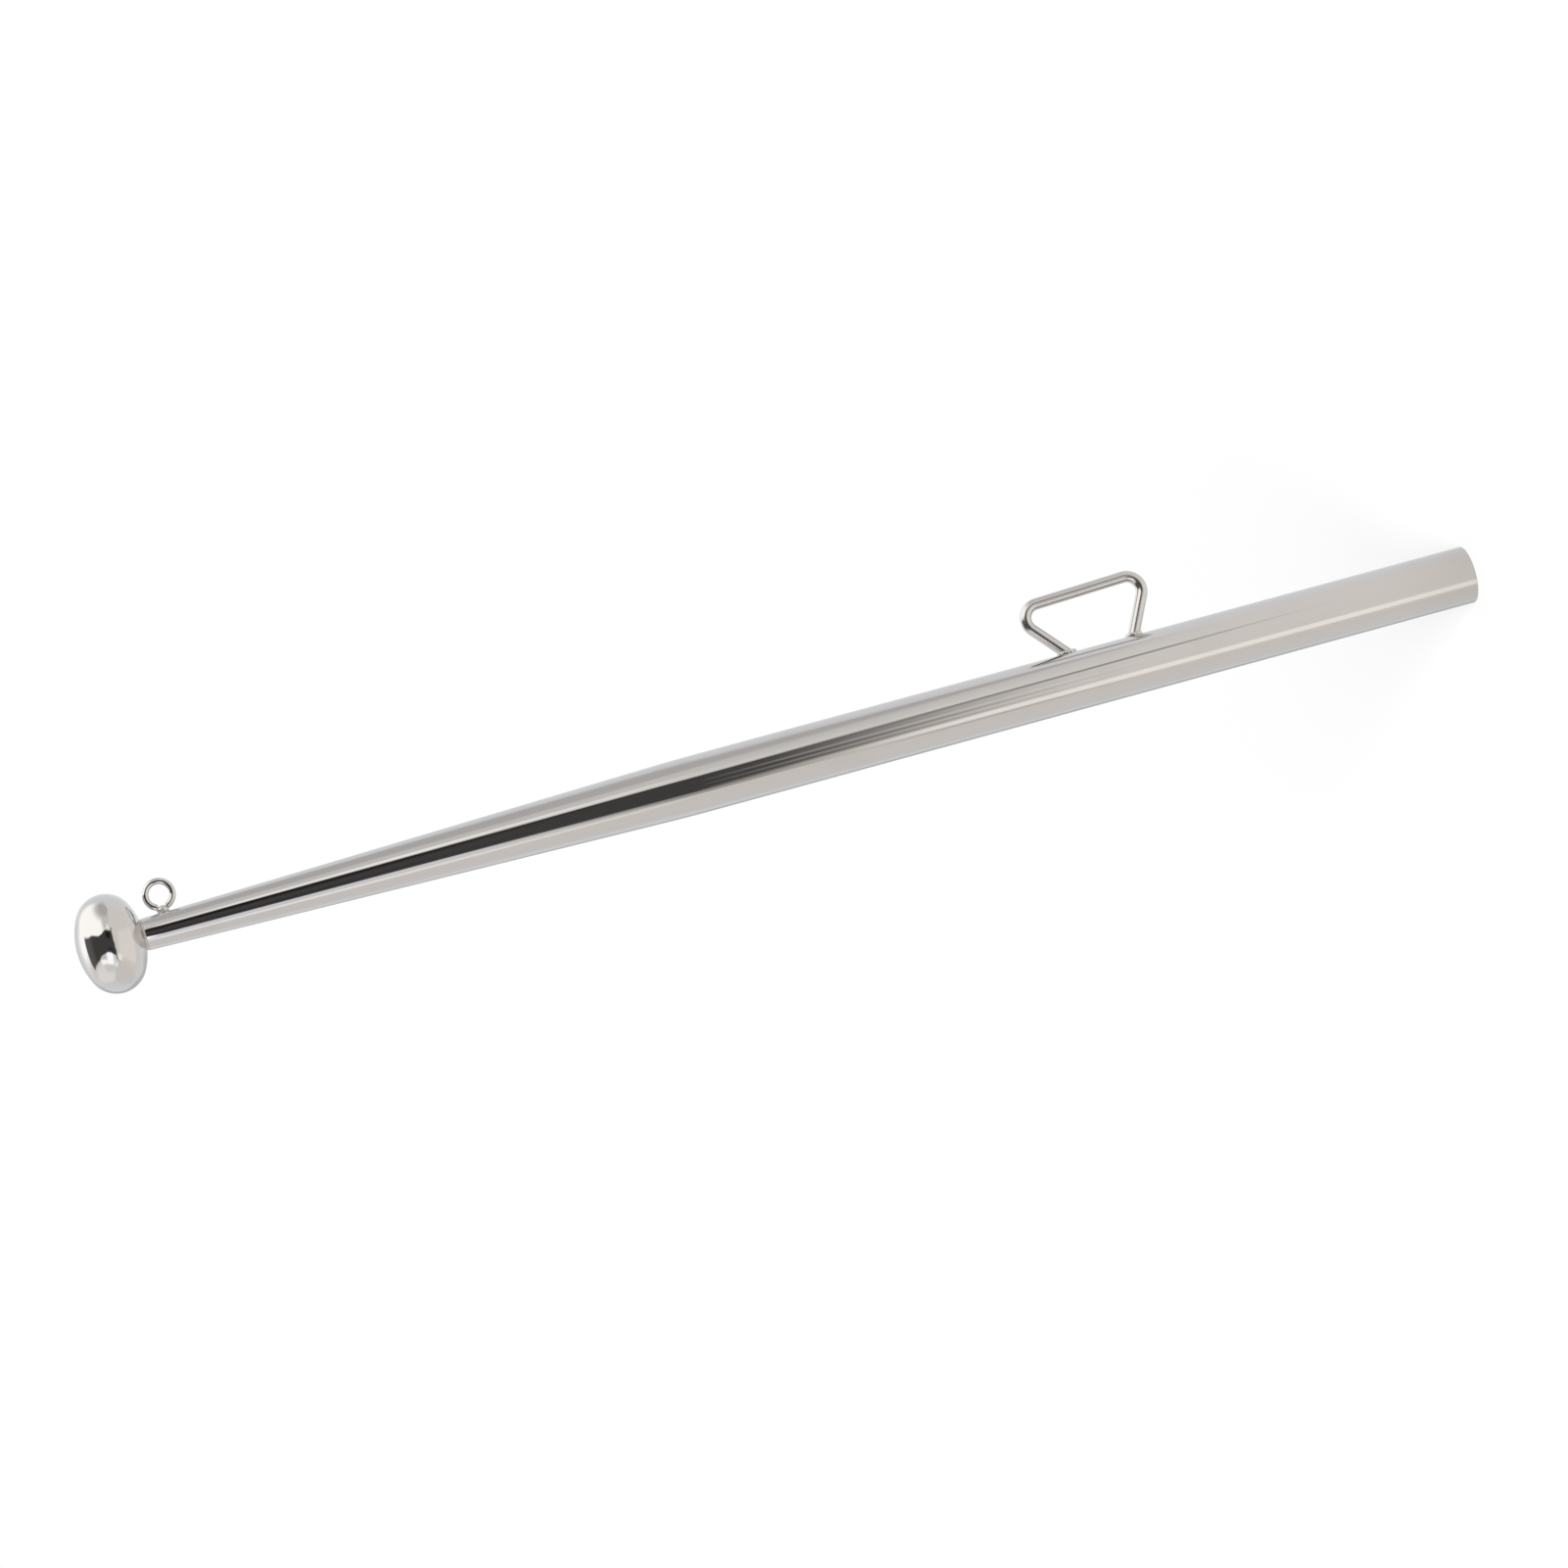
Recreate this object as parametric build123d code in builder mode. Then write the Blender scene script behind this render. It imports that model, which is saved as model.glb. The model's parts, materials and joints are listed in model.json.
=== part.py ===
"""Marine flagstaff: a polished stainless tube that tapers to a flattened ball finial.

The lower part of the tube is straight, to stand in a deck or rail socket. A wire eye near the tip
and a wire cleat lower down carry the flag line. All the fittings are welded to the same side.

The origin is the centre of the tube's base end. +Z runs up the tube to the finial, and +X points
to the side that carries the eye and the cleat. Lengths are in millimetres, angles in degrees.
"""

import os
from math import asin, atan2, cos, degrees, hypot, radians, sin, tan

from build123d import *

# Pole tube: straight below, tapering above
tube_diameter = 25.0
tube_wall = 1.5
tube_length = 589.4
straight_length = 357.0
tip_diameter = 13.6
taper_blend_radius = 900.0
base_edge_break = 0.25
tip_edge_round = 0.6

# Finial: a flattened ball on a short neck, its section an oval of two arcs a quarter
finial_diameter = 42.0
finial_thickness = 28.8
finial_rim_radius = 12.3
neck_length = 0.4
neck_step = 0.9
finial_bead_radius = 0.7

# Halyard eye: an open wire ring whose ends meet in a weld on the tube
eye_wire = 2.8
eye_bore = 8.5
eye_below_tip = 10.0
eye_standoff = 0.6
eye_gap = 3.8
eye_bead_lap = 0.25

# Rope cleat: one hand-bent wire with unequally splayed legs and a straight bar, set slightly askew
cleat_wire = 5.0
cleat_height = 164.7
cleat_foot_spacing = 30.0
cleat_bar_reach = 37.6
cleat_bend_radius = 6.4
cleat_lower_splay = 30.0
cleat_upper_splay = 38.3
cleat_set_angle = 2.1
cleat_bead_lap = 1.4
cleat_bead_sink = 1.5

# Sizes that follow from the ones above
tube_radius = tube_diameter / 2
tip_radius = tip_diameter / 2
taper_slope = (tube_radius - tip_radius) / (tube_length - straight_length)
neck_radius = tip_radius - neck_step
finial_radius = finial_diameter / 2
finial_half = finial_thickness / 2
eye_height = tube_length - eye_below_tip
eye_ring_radius = (eye_bore + eye_wire) / 2
eye_seat_radius = tip_radius + eye_below_tip * taper_slope
eye_reach = eye_seat_radius + eye_standoff + eye_wire / 2 + eye_ring_radius

os.makedirs("parts", exist_ok=True)


# The tube's outside as a solid, which also copes what is welded to it
with BuildPart() as tube_envelope:
    with BuildSketch(Plane.XZ) as envelope_half:
        with BuildLine():
            Polyline(
                (0, 0),
                (tube_radius, 0),
                (tube_radius, straight_length),
                (tip_radius, tube_length),
                (0, tube_length),
                close=True,
            )
        make_face()
        blend_corner = (tube_radius, straight_length)
        fillet(envelope_half.vertices().sort_by_distance(blend_corner)[0], taper_blend_radius)
        fillet(envelope_half.vertices().sort_by_distance((tip_radius, tube_length))[0], tip_edge_round)
        chamfer(envelope_half.vertices().sort_by_distance((tube_radius, 0))[0], base_edge_break)
    revolve(axis=Axis.Z)


# Pole tube: the envelope with a bore of even wall, open at both ends
with BuildPart() as pole_tube:
    add(tube_envelope.part)
    with BuildSketch(Plane.XZ) as bore_half:
        with BuildLine():
            Polyline(
                (0, 0),
                (tube_radius - tube_wall, 0),
                (tube_radius - tube_wall, straight_length),
                (tip_radius - tube_wall, tube_length),
                (0, tube_length),
                close=True,
            )
        make_face()
        bore_corner = (tube_radius - tube_wall, straight_length)
        fillet(bore_half.vertices().sort_by_distance(bore_corner)[0], taper_blend_radius)
    revolve(axis=Axis.Z, mode=Mode.SUBTRACT)


# Finial: wide face arcs and a tight rim arc share a tangent, and the neck seats on the tube's end
side_reach = finial_radius - finial_rim_radius
rim_rise = finial_half - finial_rim_radius
face_radius = (finial_half**2 + side_reach**2 - finial_rim_radius**2) / (2 * rim_rise)
face_drop = face_radius - finial_half
face_angle = degrees(atan2(side_reach, face_drop))
rim_angle = 90 - face_angle
neck_angle = degrees(asin(neck_radius / face_radius))
neck_rise = face_radius * (1 - cos(radians(neck_angle)))
finial_centre = tube_length + neck_length - neck_rise + finial_half
with BuildPart() as finial:
    with BuildSketch(Plane.XZ):
        with BuildLine():
            front = CenterArc((0, finial_centre - face_drop), face_radius, 90 - face_angle, face_angle)
            CenterArc((side_reach, finial_centre), finial_rim_radius, -rim_angle, 2 * rim_angle)
            back = CenterArc(
                (0, finial_centre + face_drop), face_radius, neck_angle - 90, face_angle - neck_angle
            )
            Polyline(back @ 0, (neck_radius, tube_length), (0, tube_length), front @ 1)
        make_face()
    revolve(axis=Axis.Z)


# Finial weld: a round bead in the corner between the neck and the tube's end
with BuildPart() as finial_weld:
    with BuildSketch(Plane.XZ):
        with Locations((neck_radius, tube_length)):
            Circle(finial_bead_radius)
    revolve(axis=Axis.Z)
    add(tube_envelope.part, mode=Mode.SUBTRACT)
    add(finial.part, mode=Mode.SUBTRACT)


# Halyard eye: the wire runs round from one side of the gap to the other, the gap facing the tube
eye_gap_angle = 2 * degrees(asin(eye_gap / 2 / eye_ring_radius))
with BuildPart() as halyard_eye:
    with BuildLine(Plane.XZ) as eye_path:
        CenterArc(
            (eye_reach, eye_height), eye_ring_radius, eye_gap_angle / 2 - 180, 360 - eye_gap_angle
        )
    with BuildSketch(Plane(origin=eye_path.line @ 0, z_dir=eye_path.line % 0)):
        Circle(eye_wire / 2)
    sweep(path=eye_path.line)


# Eye weld: a bead that fills the ring's gap down to the tube and laps the wire's two ends
bead_reach = (eye_seat_radius + eye_reach - eye_ring_radius) / 2
end_reach = eye_reach - eye_ring_radius * cos(radians(eye_gap_angle / 2))
eye_bead_radius = hypot(end_reach - bead_reach, eye_gap / 2) + eye_bead_lap
with BuildPart() as eye_weld:
    with BuildSketch(Plane.XZ):
        with Locations((bead_reach, eye_height)):
            Circle(eye_bead_radius)
            lower_half = (Align.CENTER, Align.MAX)
            Rectangle(2 * eye_bead_radius, eye_bead_radius, align=lower_half, mode=Mode.SUBTRACT)
    revolve(axis=Axis((0, 0, eye_height), (1, 0, 0)))
    add(tube_envelope.part, mode=Mode.SUBTRACT)
    add(halyard_eye.part, mode=Mode.SUBTRACT)


def set_askew(along, reach):
    """A point of the cleat, given from the middle of its feet, turned by the angle it is set at."""
    turn = radians(cleat_set_angle)
    return (
        tube_radius + reach * cos(turn) - along * sin(turn),
        cleat_height + along * cos(turn) + reach * sin(turn),
    )


def leg_point(side, splay, reach):
    """A point of one leg's centre line, at a reach from the tube, where side is -1 below and 1 above."""
    return set_askew(side * (cleat_foot_spacing / 2 + reach * tan(radians(splay))), reach)


# Rope cleat: leg, bar and leg of one wire, its feet coped to the tube
bar_reach = cleat_bar_reach - tube_radius
foot_depth = cleat_wire
with BuildPart() as rope_cleat:
    with BuildLine(Plane.XZ) as cleat_path:
        FilletPolyline(
            leg_point(-1, cleat_lower_splay, -foot_depth),
            leg_point(-1, cleat_lower_splay, bar_reach),
            leg_point(1, cleat_upper_splay, bar_reach),
            leg_point(1, cleat_upper_splay, -foot_depth),
            radius=cleat_bend_radius,
        )
    with BuildSketch(Plane(origin=cleat_path.line @ 0, z_dir=cleat_path.line % 0)):
        Circle(cleat_wire / 2)
    sweep(path=cleat_path.line)
    add(tube_envelope.part, mode=Mode.SUBTRACT)


# Cleat welds: a low bead round each foot, which laps the wire all round
cleat_bead_radius = cleat_wire / 2 + cleat_bead_lap
cleat_welds = {}
feet = (("cleat_weld_lower", -1, cleat_lower_splay), ("cleat_weld_upper", 1, cleat_upper_splay))
for weld_name, side, splay in feet:
    leg_lean = radians(side * splay + cleat_set_angle)
    foot_reach, foot_height = leg_point(side, splay, 0)
    seat_height = foot_height + (tube_radius - foot_reach) * tan(leg_lean)
    with BuildPart() as cleat_weld:
        with Locations((tube_radius - cleat_bead_sink, 0, seat_height)):
            Sphere(cleat_bead_radius)
        add(tube_envelope.part, mode=Mode.SUBTRACT)
        add(rope_cleat.part, mode=Mode.SUBTRACT)
    cleat_welds[weld_name] = cleat_weld.part


pieces = {
    "pole_tube": pole_tube.part,
    "finial": finial.part,
    "finial_weld": finial_weld.part,
    "halyard_eye": halyard_eye.part,
    "eye_weld": eye_weld.part,
    "rope_cleat": rope_cleat.part,
    **cleat_welds,
}
for piece_name, piece in pieces.items():
    piece.label = piece_name
    export_step(piece, f"parts/{piece_name}.step")
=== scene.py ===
# %% [markdown]
# # A polished stainless flagstaff
# The object is a small marine flagstaff: a bright tube that tapers to a flattened ball, with a wire
# eye near the tip and a wire cleat lower down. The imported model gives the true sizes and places.
# This lesson gives each piece a fine mesh in the same place, a finish made of nodes, and a light
# tent, because a mirror finish is only as good as the room that it shows.

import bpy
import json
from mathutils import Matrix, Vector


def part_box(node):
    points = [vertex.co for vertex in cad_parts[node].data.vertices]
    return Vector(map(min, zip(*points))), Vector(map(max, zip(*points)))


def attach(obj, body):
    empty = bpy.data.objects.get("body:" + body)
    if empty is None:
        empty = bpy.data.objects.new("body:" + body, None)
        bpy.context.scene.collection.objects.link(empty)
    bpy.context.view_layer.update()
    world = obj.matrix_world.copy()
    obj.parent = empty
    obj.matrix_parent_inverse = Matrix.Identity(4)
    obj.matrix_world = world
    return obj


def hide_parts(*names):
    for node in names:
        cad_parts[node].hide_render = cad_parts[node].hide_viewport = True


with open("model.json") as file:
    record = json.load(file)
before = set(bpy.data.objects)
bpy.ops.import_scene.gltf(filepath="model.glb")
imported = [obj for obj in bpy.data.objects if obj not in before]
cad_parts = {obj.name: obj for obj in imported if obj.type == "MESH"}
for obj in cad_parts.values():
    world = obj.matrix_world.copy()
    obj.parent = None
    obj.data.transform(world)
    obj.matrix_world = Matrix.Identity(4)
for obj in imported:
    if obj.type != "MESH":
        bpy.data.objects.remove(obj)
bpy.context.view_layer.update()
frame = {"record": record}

# %% [markdown]
# ## Sizes
# The frame is in metres, and a maker thinks in millimetres, so one value turns one into the other.
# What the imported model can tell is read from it: the boxes of its nodes and the bore of its mount.
# What a box can't tell, such as where the taper starts or how the cleat is splayed, is named here.

# %% Read the sizes
import json
import math

import bmesh
import bpy
import numpy as np
from mathutils import Matrix, Vector

MM = 0.001

tube_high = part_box("pole_tube")[1]
finial_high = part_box("finial")[1]
eye_low, eye_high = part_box("halyard_eye")
cleat_low, cleat_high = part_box("rope_cleat")
mounts = {mount["name"]: mount for mount in frame["record"]["mounts"]}

tube_radius = tube_high.x
tube_length = tube_high.z
bore_radius = mounts["tube_bore"]["dims"]["r_mm"] * MM
tube_wall = tube_radius - bore_radius
straight_length = 357.0 * MM
tip_radius = 6.8 * MM
taper_slope = (tube_radius - tip_radius) / (tube_length - straight_length)
taper_blend_radius = 900.0 * MM
base_edge_break = 0.25 * MM
tip_edge_round = 0.6 * MM

finial_radius = finial_high.x
finial_top = finial_high.z
finial_half = 14.4 * MM
finial_rim_radius = 12.3 * MM
neck_radius = 5.9 * MM

eye_wire_radius = (eye_high.y - eye_low.y) / 2
eye_ring_radius = (eye_high.z - eye_low.z) / 2 - eye_wire_radius
eye_height = (eye_high.z + eye_low.z) / 2
eye_reach = eye_high.x - eye_ring_radius - eye_wire_radius
eye_gap = 3.8 * MM

cleat_wire_radius = (cleat_high.y - cleat_low.y) / 2
cleat_height = 164.7 * MM
cleat_foot_spacing = 30.0 * MM
cleat_bar_reach = 25.1 * MM
cleat_bend_radius = 6.4 * MM
cleat_splay = {-1: math.radians(30.0), 1: math.radians(38.3)}
cleat_set_angle = math.radians(2.1)

print("tube radius", round(tube_radius / MM, 3), "length", round(tube_length / MM, 2), "mm")
print("bore radius", round(bore_radius / MM, 3), "mm")
print("ring radius", round(eye_ring_radius / MM, 3), "wire", round(2 * eye_wire_radius / MM, 3), "mm")

# %% [markdown]
# ## The camera
# The staff stands on its base in the frame, and the picture shows it lying, so the camera is rolled
# on its side: its right hand points down the tube. A long lens far away keeps the tube nearly
# parallel. The lens follows from the focal length in pixels and the picture's side in pixels.

# %% Place the camera
PHOTO_SIDE_PIXELS = 1601
FOCAL_PIXELS = 4700
SENSOR_SIDE = 36.0
CAMERA_PLACE = Vector((-0.267996, -1.906894, 0.621962))
CAMERA_RIGHT = Vector((-0.28157331, -0.11556127, -0.95255554))
CAMERA_UP = Vector((0.95033914, -0.17072927, -0.26020577))
CAMERA_BACK = CAMERA_RIGHT.cross(CAMERA_UP)

studio_turn = Matrix((CAMERA_RIGHT, CAMERA_UP, CAMERA_BACK)).transposed()
camera_data = bpy.data.cameras.new("camera")
camera_data.sensor_width = SENSOR_SIDE
camera_data.lens = SENSOR_SIDE * FOCAL_PIXELS / PHOTO_SIDE_PIXELS
camera = bpy.data.objects.new("camera", camera_data)
camera.matrix_world = Matrix.Translation(CAMERA_PLACE) @ studio_turn.to_4x4()
bpy.context.scene.collection.objects.link(camera)
bpy.context.scene.camera = camera
bpy.context.scene.view_settings.view_transform = "Standard"
print("lens", round(camera_data.lens, 2), "mm")

# %% [markdown]
# ## Arithmetic with nodes
# A finish is a formula, and a formula is easier to read than a row of boxes. The class below wraps
# one output of a node, so that plus, minus, times and divide add Math nodes. Every other node comes
# from one method, which sets the node's own settings first and then its inputs. The same two
# classes build the materials and the Geometry Nodes trees.


# %% Write the node helpers
class Socket:
    """One output of a node, ready for Python arithmetic."""

    def __init__(self, graph, socket):
        self.graph = graph
        self.socket = socket

    def other(self, name):
        """Another output of the same node."""
        return Socket(self.graph, self.socket.node.outputs[name])

    def math(self, operation, *values):
        return self.graph.add("ShaderNodeMath", {"operation": operation}, [self, *values])

    def __add__(self, value):
        return self.math("ADD", value)

    def __radd__(self, value):
        return self.math("ADD", value)

    def __sub__(self, value):
        return self.math("SUBTRACT", value)

    def __rsub__(self, value):
        return self.graph.add("ShaderNodeMath", {"operation": "SUBTRACT"}, [value, self])

    def __mul__(self, value):
        return self.math("MULTIPLY", value)

    def __rmul__(self, value):
        return self.math("MULTIPLY", value)

    def __truediv__(self, value):
        return self.math("DIVIDE", value)

    def __rtruediv__(self, value):
        return self.graph.add("ShaderNodeMath", {"operation": "DIVIDE"}, [value, self])

    def __abs__(self):
        return self.math("ABSOLUTE")


class Graph:
    """A node tree that grows one node at a time."""

    def __init__(self, tree):
        self.tree = tree

    def add(self, kind, settings=None, inputs=None, output=0):
        """Adds a node, sets its settings and then its inputs, and returns one output."""
        node = self.tree.nodes.new(kind)
        for name, value in (settings or {}).items():
            if name == "curve_points":
                set_curve(node, value)
            else:
                setattr(node, name, value)
        pairs = inputs.items() if isinstance(inputs, dict) else enumerate(inputs or [])
        for key, value in pairs:
            if isinstance(value, Socket):
                self.tree.links.new(value.socket, node.inputs[key])
            else:
                node.inputs[key].default_value = value
        return Socket(self, node.outputs[output]) if len(node.outputs) else node


def set_curve(node, points):
    """Straight runs through the points of a Float Curve node, which already holds two."""
    curve = node.mapping.curves[0]
    for place in points[1:-1]:
        curve.points.new(*place)
    for point, place in zip(curve.points, points):
        point.location = place
        point.handle_type = "VECTOR"
    node.mapping.update()


def smooth_step(value, low, high):
    """0 below low, 1 above high, and a smooth rise between them."""
    settings = {"interpolation_type": "SMOOTHSTEP"}
    inputs = {"Value": value, "From Min": low, "From Max": high}
    return value.graph.add("ShaderNodeMapRange", settings, inputs)


def between(value, low, high, edge):
    """1 from low to high, falling to 0 over a soft edge centred on each limit."""
    rise = smooth_step(value, low - edge, low + edge)
    return rise * (1 - smooth_step(value, high - edge, high + edge))


def toward(tone, target, mask):
    """The tone, drawn to a target where the mask is 1."""
    return tone + (target - tone) * mask


def mix_colours(graph, share, first, second):
    settings = {"data_type": "RGBA"}
    return graph.add("ShaderNodeMix", settings, {0: share, 6: first, 7: second}, output=2)


def new_material(name):
    """An empty material and its graph."""
    material = bpy.data.materials.new(name)
    material.use_nodes = True
    material.node_tree.nodes.clear()
    return material, Graph(material.node_tree)


print("node helpers ready")

# %% [markdown]
# ## The light tent
# Polished metal has no colour of its own to speak of: it shows the tent that it is photographed
# in. The reflections in the ball and the tube tell what stood where: white cloth nearly all round,
# a brighter panel on the upper left, a lamp under the lens, a dull roof, a few seams and folds, and
# the dark opening that the camera looks through. Cards could be hung for each of these. One shell is
# simpler: its material is a map of directions, in degrees to the right of the lens and above it.
# Only glossy rays see the shell, so that it lights the metal and leaves the white ground alone.
#
# Most of the map is patches. Each has a tone, where 1 is white, and then three numbers for its
# azimuth and three for its elevation: the low limit, the high limit and the width of the soft edge
# on either side of them. A limit of 180 or more is out of reach, so the patch is open on that side.
# A pair of numbers is where one soft edge starts and where it ends.

# %% Lay out the cloth
CLOTH_TONE = 0.92
ROOF_PATCHES = {
    "dull roof": (0.60, (-150, 0, 20), (61, 180, 9)),
    "roof corner": (0.79, (-28, 8, 8), (47, 66, 8)),
}
PANEL_TONE = 1.50
PANEL_ACROSS = (-132, -21, 10)
PANEL_UPWARD = (-22, 51, 9)
PANEL_LEAN = 0.75
PANEL_LEAN_FROM = 34
LOW_PATCHES = {
    "left": (1.06, (-130, 12, 12), (-180, -45, 5)),
    "middle": (0.90, (-44, 14, 8), (-66, -48, 4)),
    "shaded edge": (0.80, (-46, -18, 5), (-35, -26, 3)),
    "bright panel": (1.50, (-48, -14, 6), (-46, -36.5, 3)),
    "right": (0.85, (20, 150, 10), (-180, -37, 7)),
}
BACK_PATCHES = {
    "low back, alike on both sides": (0.60, (152.5, 360, 12.5), (-35, 1, 5)),
}
RIGHT_PATCHES = {
    "right side": (1.04, (37, 105, 6), (-24, 33, 5)),
    "ridge": (1.24, (28, 46, 3), (-33, -18, 3)),
}
HEM_PATCHES = {
    "upper fold": (0.78, (-19, -8, 5), (38, 60, 4)),
    "bright hem": (1.27, (-6, 2, 4), (36, 47, 2.5)),
}


def patch(azimuth, elevation, across, upward):
    """1 in a patch of the tent, whose two spans are a low limit, a high limit and a soft edge."""
    return between(azimuth, *across) * between(elevation, *upward)


def hang(tone, azimuth, elevation, patches):
    """The tone with patches laid over it, one after the other."""
    for target, across, upward in patches.values():
        tone = toward(tone, target, patch(azimuth, elevation, across, upward))
    return tone


def tent_cloth(azimuth, elevation):
    """How bright the cloth and its panels are in a direction. The bright panel's right edge leans."""
    tone = hang(CLOTH_TONE + 0 * azimuth, azimuth, elevation, ROOF_PATCHES)
    lean = PANEL_LEAN * (elevation - PANEL_LEAN_FROM).math("MAXIMUM", 0)
    left, right, edge = PANEL_ACROSS
    bright_panel = patch(azimuth, elevation, (left, right - lean, edge), PANEL_UPWARD)
    tone = toward(tone, PANEL_TONE, bright_panel)
    tone = hang(tone, azimuth, elevation, LOW_PATCHES)
    tone = hang(tone, abs(azimuth), elevation, BACK_PATCHES)
    tone = hang(tone, azimuth, elevation, RIGHT_PATCHES)
    return hang(tone, azimuth, elevation, HEM_PATCHES)


print("cloth", CLOTH_TONE, "with a panel of", PANEL_TONE)

# %% Sew the seams and place the lamp
SEAM_TONE = 0.36
SEAM_PLACE = (14, 36.6)
SEAM_RISE = 0.7
SEAM_ACROSS = (10, 17.6, 1.3)
SEAM_EDGE = (1.5, 6)
CREASE_TONE = 0.64
CREASE_START = (20, -18.5)
CREASE_RUN = (0.71, -0.704)
CREASE_ALONG = (21, 29, 4)
CREASE_EDGE = (0.8, 2.6)
FOLD_TONE = 0.42
FOLD_PLACE = (22.5, -20)
FOLD_LEAN = 0.6
FOLD_ACROSS = (-4.5, 3.4, 1.8)
FOLD_UPWARD = (-33, -14, 4)
LAMP_PATCHES = {
    "glow": (1.02, (-10, 17, 4), (-48, -20, 5)),
    "side glow": (1.20, (16, 31, 4), (-51, -39, 3)),
    "lamp": (1.60, (-15, 11, 4), (-47, -18, 3)),
}


def tent_seams(tone, azimuth, elevation):
    """A seam from the opening's upper right corner, and a crease and a fold from its lower right one."""
    seam_line = SEAM_PLACE[1] + SEAM_RISE * (azimuth - SEAM_PLACE[0])
    seam = 1 - smooth_step(abs(elevation - seam_line), *SEAM_EDGE)
    tone = toward(tone, SEAM_TONE, seam * between(azimuth, *SEAM_ACROSS))
    right_of = azimuth - CREASE_START[0]
    above = elevation - CREASE_START[1]
    across = right_of * -CREASE_RUN[1] + above * CREASE_RUN[0]
    along = right_of * CREASE_RUN[0] + above * CREASE_RUN[1]
    crease = 1 - smooth_step(abs(across), *CREASE_EDGE)
    tone = toward(tone, CREASE_TONE, crease * between(along, *CREASE_ALONG))
    from_fold = azimuth - FOLD_PLACE[0] + FOLD_LEAN * (elevation - FOLD_PLACE[1])
    return toward(tone, FOLD_TONE, patch(from_fold, elevation, FOLD_ACROSS, FOLD_UPWARD))


print("lamp and glow", len(LAMP_PATCHES), "patches")

# %% Cut the opening
OPENING_TOP = [
    (-180, -3), (-100, -2), (-82, 1), (-66, 8), (-38, 13), (-26, 20), (-19, 27), (-13, 32), (-8, 33.5),
    (-3, 32.5), (5, 33), (180, 35),
]
OPENING_BOTTOM = [
    (-180, -38), (-75, -40), (-52, -37), (-38, -29), (-20, -24), (-8, -19), (5, -18.7), (12, -22),
    (180, -28),
]
OPENING_EDGE = 2.5
OPENING_LEFT_EDGE = (-109, -102)
OPENING_RIGHT = 19.9
OPENING_RIGHT_EDGE = (-1.5, 4.5)
OPENING_LEAN = 0.27
OPENING_STEP = 1.9
OPENING_STEP_EDGE = (20, 29)
CURTAIN_WAVE = 16
CURTAIN_WAVE_FROM = -12
CURTAIN_WAVE_DEPTH = 0.7
HALF_TURN = 180
ROOM_TONE = 0.07
ROOM_CHANGES = {
    "upper dark thing": (-0.05, (-10, 6, 3), (14, 30, 4)),
    "lower dark thing": (-0.03, (-4, 14, 3), (-15, -7, 3)),
    "light at the left": (0.06, (-110, -70, 12), (-180, 180, 1)),
}


def edge_curve(azimuth, points):
    """The height of one edge of the opening, in degrees, at an azimuth."""
    places = [((a + HALF_TURN) / (2 * HALF_TURN), (e + HALF_TURN) / (2 * HALF_TURN)) for a, e in points]
    share = (azimuth + HALF_TURN) / (2 * HALF_TURN)
    curve = azimuth.graph.add("ShaderNodeFloatCurve", {"curve_points": places}, {"Value": share})
    return curve * (2 * HALF_TURN) - HALF_TURN


def tent_opening(azimuth, elevation):
    """1 in the dark opening round the camera, whose wavy right edge leans."""
    wave = ((elevation - CURTAIN_WAVE_FROM) * (2 * math.pi / CURTAIN_WAVE)).math("COSINE")
    step = OPENING_STEP * smooth_step(elevation, *OPENING_STEP_EDGE)
    right_edge = OPENING_RIGHT - OPENING_LEAN * elevation + step
    from_right = azimuth - right_edge - CURTAIN_WAVE_DEPTH * wave
    bottom = edge_curve(azimuth, OPENING_BOTTOM)
    top = edge_curve(azimuth, OPENING_TOP)
    height = between(elevation, bottom, top, OPENING_EDGE)
    inside = height * smooth_step(azimuth, *OPENING_LEFT_EDGE)
    return inside * (1 - smooth_step(from_right, *OPENING_RIGHT_EDGE))


def room_tone(azimuth, elevation):
    """The dim room behind the camera, with two darker things in it and a little light at its left."""
    tone = ROOM_TONE + 0 * azimuth
    for change, across, upward in ROOM_CHANGES.values():
        tone = tone + change * patch(azimuth, elevation, across, upward)
    return tone


print("opening of", len(OPENING_TOP) + len(OPENING_BOTTOM), "points")

# %% Hang the light tent
TENT_RADIUS = 30.0
TENT_SEGMENTS = 48
TENT_RINGS = 24
WHITE_CLOTH = (1.0, 1.0, 1.0, 1)
WARM_CLOTH = (1.0, 0.972, 0.945, 1)
WARM_EDGE = (4, 28)
WARM_LOW_SHARE = 0.5
WARM_LOW_EDGE = (-58, -40)
COOL_LAMP = (0.94, 0.98, 1.06, 1)
COOL_LAMP_ACROSS = (-18, 22, 5)
COOL_LAMP_UPWARD = (-50, -14, 4)
COOL_BACK = (0.975, 0.992, 1.025, 1)
COOL_BACK_EDGE = (105, 140)


def tent_tint(graph, azimuth, elevation):
    """Cloth that is warmer on the right, less so low down, with a cool lamp and a cool back."""
    above_low = smooth_step(elevation, *WARM_LOW_EDGE)
    warmth = smooth_step(azimuth, *WARM_EDGE) * (WARM_LOW_SHARE + (1 - WARM_LOW_SHARE) * above_low)
    tint = mix_colours(graph, warmth, WHITE_CLOTH, WARM_CLOTH)
    lamp = patch(azimuth, elevation, COOL_LAMP_ACROSS, COOL_LAMP_UPWARD)
    tint = mix_colours(graph, lamp, tint, COOL_LAMP)
    return mix_colours(graph, smooth_step(abs(azimuth), *COOL_BACK_EDGE), tint, COOL_BACK)


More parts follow.
